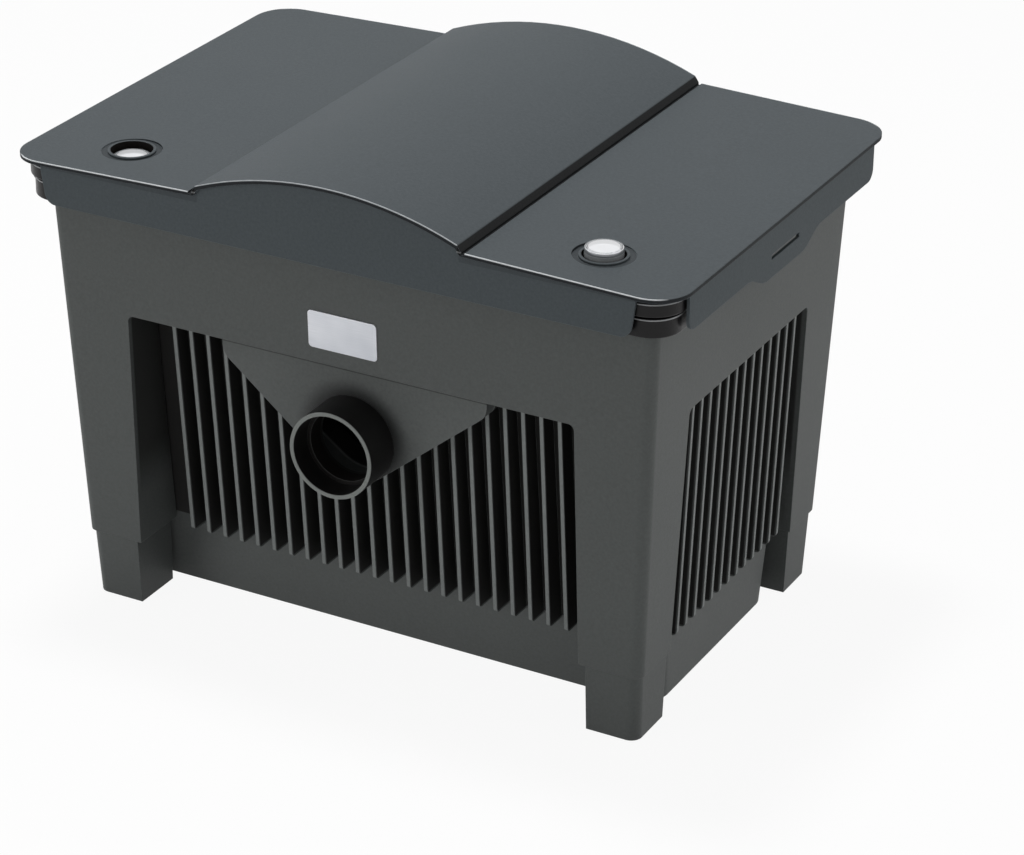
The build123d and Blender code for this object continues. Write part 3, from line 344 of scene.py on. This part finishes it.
SIDE_FIN_X, SIDE_FIN_RISE = 0.2380, 0.0381
FIN_LIP = 0.0010                                 # painted highlight on the fins' edges reaches this far round
HOUSING_FACE_Y, COLLAR_TOP_Z = 0.1546, 0.235     # just in front of the housing's face; over the collar
PIPE_AXIS_Z, PIPE_RADIUS, PIPE_SHADE_REACH = 0.1936, 0.035, 0.016    # painted shade spreads PIPE_SHADE_REACH round the pipe
SEAM_Z, SEAM_TOP = 0.2488, 0.2620                # shadow gap between the housing and the band
LID_X, LID_Y, LID_CORNER = 0.2775, 0.1910, 0.0290
LID_EDGE_Z, WING_RISE = 0.3778, 0.026            # the wings' top: edge height, and rise towards the dome
DOME_X, DOME_CENTRE_Z, DOME_R = 0.1085, 0.1120, 0.2960
DOME_SKIN = 0.0030                               # the dome's front face starts this far under its arc
SIDE_IN, SIDE_OUT = 0.1091, 0.11466              # the dome's side and the shadow groove at its foot
GROOVE_FLOOR_Z = 0.3800
SKIRT_X, SKIRT_Y, SKIRT_TOP_Z = 0.2720, 0.1855, 0.3738
GAUGE_X, GAUGE_Y, GAUGE_HOLE = 0.1980, -0.1395, 0.0161
GAUGE_DISH_IN, GAUGE_DISH_OUT = 0.0183, 0.0230
LINE_FADE = 0.0004, 0.0008                       # the edge line fades out between these distances


def rolled_rim(g, underside, top):
    """A rolled rim: polished black, with a fine highlight along its upper round."""
    height = g.axis("Z")
    shine = height.band(top - SHINE_DROP - 0.0003, top - SHINE_DROP + 0.0002, 0.0003)
    above = height.step(underside - HAIR, underside + HAIR)
    return [(above, RIM_BLACK, 0.30), (shine, RIM_SHINE, 0.2)]


def frame_zones(g):
    """Frame: painted shade on the inner sides of its legs, and its rolled rim."""
    across, along, height = g.axis("X").absolute(), g.axis("Y").absolute(), g.axis("Z")
    past_x = (across - height * FRAME_X_RISE - (FRAME_X - FRAME_CORNER)).positive()
    past_y = (along - height * FRAME_Y_RISE - (FRAME_Y - FRAME_CORNER)).positive()
    inside = FRAME_CORNER - (past_x * past_x + past_y * past_y).root()
    # painted shade on the legs' inner sides
    inner = inside.step(FRAME_WALL, FRAME_WALL + 0.002) * height.step(0.09, 0.14) * 0.8
    return [(inner, SHADE_BLACK, 0.6)] + rolled_rim(g, FRAME_RIM_Z, FRAME_RIM_TOP)


def tub_zones(g):
    """Tub: painted highlight on the fin edges, painted shade on the walls behind them, in the water way and round
    the pipe's root, the shadow gap over the housing and the polished rim."""
    across, along, height = g.axis("X").absolute(), g.axis("Y").absolute(), g.axis("Z")
    behind_front = along - height * FRONT_FIN_RISE - FRONT_FIN_Y
    behind_side = across - height * SIDE_FIN_RISE - SIDE_FIN_X
    # painted shade on the walls between and behind the fins
    fin_gap_shade = 1.0 - behind_front.step(-2 * FIN_LIP, -FIN_LIP)
    fin_gap_shade = fin_gap_shade * (1.0 - behind_side.step(-2 * FIN_LIP, -FIN_LIP))
    level = height.band(FIN_LOW_Z + 0.002, SHELF_Z - 0.001, 0.001)
    # painted shade in the water way in front of the housing
    pipe = along.step(HOUSING_FACE_Y, HOUSING_FACE_Y + 0.0002)
    pipe = pipe * (1.0 - height.step(COLLAR_TOP_Z, COLLAR_TOP_Z + 0.005))
    # painted shade round the pipe's root, in the rim's black
    outward = 0.0 - g.axis("Y")
    face = outward.step(HOUSING_FACE_Y - 0.0035, HOUSING_FACE_Y - 0.0025)
    rise = height - PIPE_AXIS_Z
    from_pipe = (across * across + rise * rise).root()
    pipe_root_shade = face * (1.0 - from_pipe.step(PIPE_RADIUS, PIPE_RADIUS + PIPE_SHADE_REACH)) * 0.8
    seam = face * height.band(SEAM_Z, SEAM_TOP, 0.0004) * 0.55
    # painted highlight on the fins' edges
    edges = g.math("MAXIMUM", behind_front.band(0.0, FIN_LIP, FIN_LIP),
                   behind_side.band(0.0, FIN_LIP, FIN_LIP))
    zones = [(edges * level, FIN_EDGE_HIGHLIGHT, 0.5), (fin_gap_shade * level * 0.92, SHADE_BLACK, 0.6),
             (pipe_root_shade, RIM_BLACK, 0.35), (seam, SHADE_BLACK, 0.6), (pipe, SHADE_BLACK, 0.5)]
    return zones + rolled_rim(g, TUB_RIM_Z, TUB_RIM_TOP)


def lid_zones(g):
    """Lid: painted shade on the skirts, the plate edge and round the gauges, the painted highlight line of its
    front edge, painted shade on the dome's sides and shadow grooves and on the walls of the two gauge openings."""
    across, along, height = g.axis("X").absolute(), g.axis("Y").absolute(), g.axis("Z")
    outside = g.math("MAXIMUM", across.step(SKIRT_X, SKIRT_X + 0.0004), along.step(SKIRT_Y, SKIRT_Y + 0.0004))
    under_plate = 1.0 - height.step(SKIRT_TOP_Z - 0.0004, SKIRT_TOP_Z)
    past_x = (across - (LID_X - LID_CORNER)).positive()
    past_y = (along - (LID_Y - LID_CORNER)).positive()
    inside = LID_CORNER - (past_x * past_x + past_y * past_y).root()
    # painted shade on the plate's edge face under its top
    plate_edge_shade = (1.0 - inside.step(0.0002, 0.0005)) * (1.0 - under_plate)
    on_dome = 1.0 - across.step(DOME_X, DOME_X + 0.0006)
    below_wing = (LID_X - across) * WING_RISE + LID_EDGE_Z - height
    below_dome = (DOME_R * DOME_R - across * across).positive().root() + DOME_CENTRE_Z - height
    # painted shade on the skirts under the plate and below the dome's arc
    skirt = outside * g.math("MAXIMUM", under_plate, on_dome * below_dome.step(DOME_SKIN, DOME_SKIN + 0.0004))
    front = along.step(LID_Y - 0.010, LID_Y - 0.004) * (1.0 - inside.step(0.0005, 0.0009))
    # painted highlight: the bright line along the plate's front edge
    wing_line = front * (1.0 - on_dome) * (1.0 - below_wing.absolute().step(*LINE_FADE))
    dome_line = front * on_dome * (1.0 - below_dome.absolute().step(*LINE_FADE))
    # painted shade on the dome's sides and the grooves at their feet
    groove = across.band(SIDE_IN, SIDE_OUT, 0.0003) * height.step(GROOVE_FLOOR_Z, GROOVE_FLOOR_Z + 0.0005)
    to_gauge_x, to_gauge_y = across - GAUGE_X, g.axis("Y") - GAUGE_Y
    radius = (to_gauge_x * to_gauge_x + to_gauge_y * to_gauge_y).root()
    # painted shade on the walls of the gauge openings
    hole = 1.0 - radius.step(GAUGE_HOLE + 0.0001, GAUGE_HOLE + 0.0004)
    # painted shade in the shallow dish round each gauge
    dish = radius.band(GAUGE_DISH_IN + 0.0003, GAUGE_DISH_OUT - 0.0003, 0.0008) * 0.45
    return [(skirt, SKIRT_SHADE, 0.5), (plate_edge_shade * 0.9, LID_EDGE_SHADE, 0.5), (wing_line, LID_LINE, 0.3),
            (dome_line, DOME_LINE, 0.3), (groove * 0.85, SHADE_BLACK, 0.6), (dish, LID_EDGE_SHADE, 0.55),
            (hole, SHADE_BLACK, 0.5)]


finishes = {
    "casing_plastic": moulded_plastic("casing_plastic", CASING, gloss=0.46, zones=frame_zones),
    "lid_plastic": moulded_plastic("lid_plastic", LID, gloss=0.50, edge_light=0.6, shine=0.05,
                                   zones=lid_zones),
    "tub_plastic": moulded_plastic("tub_plastic", TUB, gloss=0.42, edge_light=0.5, edge_radius=0.0007,
                                   zones=tub_zones),
    "pipe_plastic": glossy_black("pipe_plastic"),
    "black_plastic": moulded_plastic("black_plastic", BLACK, gloss=0.55, edge_light=0.5, shine=0.5),
    "rubber_black": rubber("rubber_black"),
    "handle_red": moulded_plastic("handle_red", rgb(150, 30, 26), gloss=0.6, edge_light=0.1, shine=0.5),
    "gauge_grey": moulded_plastic("gauge_grey", rgb(140, 143, 145), gloss=0.72, grain=0.00003, shine=0.5),
    "float_white": moulded_plastic("float_white", rgb(214, 214, 210), gloss=0.55, edge_light=0.0, shine=0.5),
    "plate_silver": brushed_plate("plate_silver"),
    "perforated_grey": moulded_plastic("perforated_grey", rgb(72, 74, 76), gloss=0.4),
}
for name, node in nodes.items():
    slot = next(part["material_slot"] for part in frame["record"]["subparts"] if part["node"] == name)
    if slot in ("dial_white", "clear_plastic"):
        low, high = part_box(name)
        make = printed_dial if slot == "dial_white" else clear_lens
        material = make(name + "_finish", (low + high) / 2)
    elif slot in finishes:
        material = finishes[slot]
    else:
        continue
    node.data.materials.clear()
    node.data.materials.append(material)


# ---- foam blocks -----------------------------------------------------------------------------
def outline_points(half_x, half_y, corner, count):
    """Points evenly spaced along a rounded rectangle: four quarter circles joined by straight sides."""
    angles = np.linspace(0, 2 * np.pi, 4 * count, endpoint=False)
    quarter = np.floor(angles / (np.pi / 2)) * (np.pi / 2) + np.pi / 4
    centre_x = np.sign(np.cos(quarter)) * (half_x - corner)
    centre_y = np.sign(np.sin(quarter)) * (half_y - corner)
    dense = np.stack([centre_x + corner * np.cos(angles), centre_y + corner * np.sin(angles)], 1)
    loop = np.vstack([dense, dense[:1]])
    along = np.concatenate([[0], np.cumsum(np.linalg.norm(np.diff(loop, axis=0), axis=1))])
    even = np.linspace(0, along[-1], 4 * count, endpoint=False)
    return np.stack([np.interp(even, along, loop[:, 0]), np.interp(even, along, loop[:, 1])], 1)


def ripple(points, seed, size):
    """Smooth unevenness: a sum of sine waves with seeded directions and phases."""
    rng = np.random.default_rng(seed)
    waves = rng.normal(size=(12, 3)) * 90.0
    phases = rng.uniform(0, 2 * np.pi, 12)
    return size * np.sin(points @ waves.T + phases).mean(axis=1)


FOAM_INSET, FOAM_GAP, FOAM_CORNER = 0.0012, 0.0008, 0.012      # inside the space it fills; its upright edges
AROUND, FLAT_STEPS, SIDE_STEPS = 120, 24, 26     # grid points: a quarter round, across an end, up a side
ROUNDING = 0.035                                 # share of the width that the softened edges take
BROAD_DENTS, FINE_DENTS = 0.0007, 0.0005


def foam_block(name, node, bore, material, seed):
    """Foam block round a tube. Profile in the plane of (outline fraction s, profile t): out along the
    bottom from the bore, up the outside with softened corners, in along the top, down the bore. Each
    profile point gives a share between the bore circle and the outer outline, and a height. Every point off
    the bore is then moved inwards by the depth of the ripples there."""
    low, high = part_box(node)
    centre = (low + high) / 2
    half = (high - low) / 2
    outer = outline_points(half.x - FOAM_INSET, half.y - FOAM_INSET, FOAM_CORNER, AROUND)
    angle = np.arctan2(outer[:, 1], outer[:, 0])
    inner = bore * np.stack([np.cos(angle), np.sin(angle)], 1)
    outward = np.linspace(0, 1 - ROUNDING, FLAT_STEPS)
    corner = [1 - ROUNDING * 0.3, 1.0]
    upward = np.linspace(0.03, 0.97, SIDE_STEPS)
    share = np.concatenate([outward, corner, np.ones(SIDE_STEPS), corner[::-1], outward[::-1],
                            np.zeros(SIDE_STEPS)])
    lift = np.concatenate([np.zeros(FLAT_STEPS), [0.006, 0.02], upward, [0.98, 0.994], np.ones(FLAT_STEPS),
                           upward[::-1]])
    flat = inner[None] + (outer - inner)[None] * share[:, None, None]
    height = low.z + FOAM_GAP + lift * (high.z - low.z - 2 * FOAM_GAP)
    points = np.empty((len(share), 4 * AROUND, 3))
    points[..., :2] = flat + np.array([centre.x, centre.y])
    points[..., 2] = height[:, None]
    flat_points = points.reshape(-1, 3)
    rows, columns = points.shape[:2]
    row, column = np.meshgrid(np.arange(rows), np.arange(columns), indexing="ij")
    next_row, next_column = (row + 1) % rows, (column + 1) % columns
    faces = np.stack([row * columns + column, row * columns + next_column,
                      next_row * columns + next_column, next_row * columns + column], -1).reshape(-1, 4)
    dents = ripple(flat_points * 3.0, seed, BROAD_DENTS) + ripple(flat_points, seed + 1, FINE_DENTS)
    away = flat_points - np.array([centre.x, centre.y, centre.z])
    away[:, 2] *= 0.6
    away /= np.linalg.norm(away, axis=1, keepdims=True)
    off_bore = np.repeat(share > 0.02, columns)
    flat_points = flat_points - away * (np.abs(dents) * off_bore)[:, None]
    mesh = bpy.data.meshes.new(name)
    mesh.from_pydata(flat_points.tolist(), [], faces[:, ::-1].tolist())
    mesh.polygons.foreach_set("use_smooth", np.ones(len(faces), bool))
    mesh.materials.append(material)
    block = bpy.data.objects.new(name, mesh)
    bpy.context.scene.collection.objects.link(block)
    return block


FOAM_FINISH = {"coarse": ("foam_blue", open_foam("foam_blue", rgb(20, 52, 110), rgb(52, 98, 166))),
               "fine": ("foam_red", open_foam("foam_red", rgb(96, 24, 22), rgb(160, 52, 46)))}
tube_low, tube_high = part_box("retainer_tube_left")
bore = (tube_high.x - tube_low.x) / 2 + 0.0006
for side in ("left", "right"):
    floor_of_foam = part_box(f"foam_coarse_{side}")[0]
    top_of_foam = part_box(f"foam_fine_{side}")[1]
    travel = next(j for j in frame["joints"] if j["name"] == f"press_{side}_down")["range_m"][1]
    keep = 1 - travel / (top_of_foam.z - floor_of_foam.z)
    for number, (grade, (slot, material)) in enumerate(FOAM_FINISH.items()):
        node = f"foam_{grade}_{side}"
        block = foam_block(f"{grade}_foam_block_{side}", node, bore, material, 11 + number)
        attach(block, "chassis")
        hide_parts(node)
        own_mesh(block)


# ---- floor, light and camera -----------------------------------------------------------------
def seen_directly(tree):
    """Sockets that are 1 where the camera, a reflection or a view through glass meets the backdrop."""
    path = tree.nodes.new("ShaderNodeLightPath")
    return [path.outputs[kind] for kind in ("Is Camera Ray", "Is Glossy Ray", "Is Transmission Ray")]


def stage_material(name, colour, glow):
    """Pale matt paper; the camera and reflections see it lighter, and it keeps the shadow."""
    g = Graph(name)
    g.put(Base_Color=colour, Roughness=0.9)
    camera, glossy, through = (Value(g, socket) for socket in seen_directly(g.tree))
    seen = g.math("MAXIMUM", g.math("MAXIMUM", camera, glossy), through)
    light = g.node("ShaderNodeEmission", {}, {"Color": (1.0, 1.0, 1.0, 1.0), "Strength": 1.0})
    mixed = g.node("ShaderNodeMixShader", {}, {0: seen * glow, 1: Value(g, g.shader.outputs[0]), 2: light})
    output = g.tree.nodes["Material Output"]
    g.feed(output.inputs["Surface"], mixed)
    return g.material


def floor_sheet(size):
    """Floor: a flat square grid of points just under height 0."""
    cells = 8
    side = np.linspace(-size, size, cells + 1)
    x, y = np.meshgrid(side, side)
    points = np.stack([x.ravel(), y.ravel(), np.full(x.size, -0.0002)], 1)
    row, column = np.meshgrid(np.arange(cells), np.arange(cells), indexing="ij")
    corner = (row * (cells + 1) + column).ravel()
    faces = np.stack([corner, corner + 1, corner + cells + 2, corner + cells + 1], 1)
    mesh = bpy.data.meshes.new("studio_floor")
    mesh.from_pydata(points.tolist(), [], faces.tolist())
    mesh.materials.append(stage_material("studio_paper", (0.80, 0.80, 0.80, 1.0), 0.92))
    sheet = bpy.data.objects.new("studio_floor", mesh)
    bpy.context.scene.collection.objects.link(sheet)


def soft_lamp(name, place, size, power):
    """Square soft light that points at the middle of the object."""
    lamp = bpy.data.lights.new(name, "AREA")
    lamp.size = size
    lamp.energy = power
    holder = bpy.data.objects.new(name, lamp)
    holder.location = place
    holder.rotation_euler = (Vector((0.0, 0.0, 0.2)) - Vector(place)).to_track_quat("-Z", "Y").to_euler()
    bpy.context.scene.collection.objects.link(holder)


def sky(strength):
    """White surroundings: strength lights the object; the camera, reflections and views through glass see
    white."""
    world = bpy.data.worlds.new("studio")
    world.use_nodes = True
    tree = world.node_tree
    background = tree.nodes["Background"]
    background.inputs["Color"].default_value = (1.0, 1.0, 1.0, 1.0)
    total = None
    for socket in seen_directly(tree):
        rise = tree.nodes.new("ShaderNodeMath")
        rise.operation = "MAXIMUM"
        tree.links.new(socket, rise.inputs[0])
        if total:
            tree.links.new(total, rise.inputs[1])
        else:
            rise.inputs[1].default_value = strength
        total = rise.outputs[0]
    tree.links.new(total, background.inputs["Strength"])
    bpy.context.scene.world = world


def place_camera():
    """Camera from the front right, above the lid; angles in radians, focal length in image widths."""
    where = (1.2077, -2.1538, 1.3657)
    yaw, pitch, roll = 0.4928, -0.462, 0.0084
    focal = 3513.5 / 1024
    ahead = Vector((-math.sin(yaw) * math.cos(pitch), math.cos(yaw) * math.cos(pitch), math.sin(pitch)))
    right = ahead.cross(Vector((0, 0, 1))).normalized()
    above = right.cross(ahead)
    across = right * math.cos(roll) + above * math.sin(roll)
    upward = above * math.cos(roll) - right * math.sin(roll)
    turn = Matrix((across, upward, -ahead)).transposed()
    lens = bpy.data.cameras.new("camera")
    lens.sensor_width = 36.0
    lens.lens = focal * lens.sensor_width
    lens.clip_end = 50.0
    holder = bpy.data.objects.new("camera", lens)
    holder.matrix_world = Matrix.Translation(where) @ turn.to_4x4()
    bpy.context.scene.collection.objects.link(holder)
    bpy.context.scene.camera = holder


floor_sheet(9.0)
sky(0.30)
soft_lamp("lamp_above", (-0.4, 0.2, 2.9), 0.5, 57.0)
soft_lamp("lamp_front", (-1.9, -3.0, 1.1), 1.6, 22.0)
soft_lamp("lamp_side", (3.0, 0.6, 1.6), 1.6, 13.5)
place_camera()
bpy.context.scene.view_settings.view_transform = "Standard"
